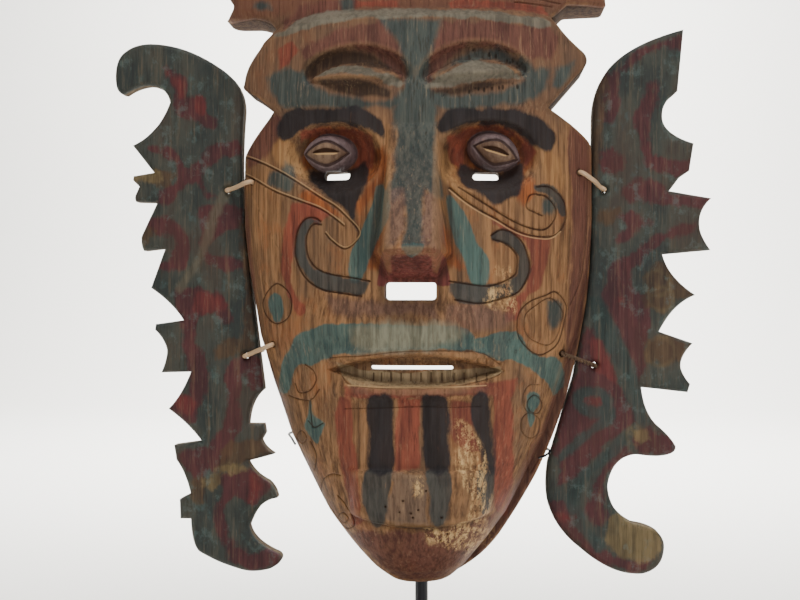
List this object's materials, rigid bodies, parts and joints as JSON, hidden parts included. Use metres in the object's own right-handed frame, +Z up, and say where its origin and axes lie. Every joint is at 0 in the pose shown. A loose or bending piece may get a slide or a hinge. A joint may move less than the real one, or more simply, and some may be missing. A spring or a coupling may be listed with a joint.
{
  "type": "tribal mask on a stand",
  "caption": "Carved and painted wooden spirit mask with lashed openwork ear boards, standing on a black rod and foot.",
  "frame": {"origin": "centre of the foot plate's underside", "axes": "+Z up from the foot to the crown, the face looks along -Y, +X to the viewer's right"},
  "size_m": [0.3645, 0.144, 0.464],
  "materials": {
    "painted_wood": "worn matt paint over bare wood",
    "painted_board": "worn matt paint",
    "rattan": "smooth cane",
    "dark_cord": "twisted fibre",
    "black_steel": "satin black paint"
  },
  "bodies": {
    "root": {"mask_face": "painted_wood", "ear_left": "painted_board", "ear_right": "painted_board", "tie_upper_left": "rattan", "tie_lower_left": "rattan", "tie_upper_right": "rattan", "tie_lower_right": "dark_cord", "stand_rod": "black_steel", "edge_wire": "black_steel", "foot_plate": "black_steel"}
  },
  "joints": []
}
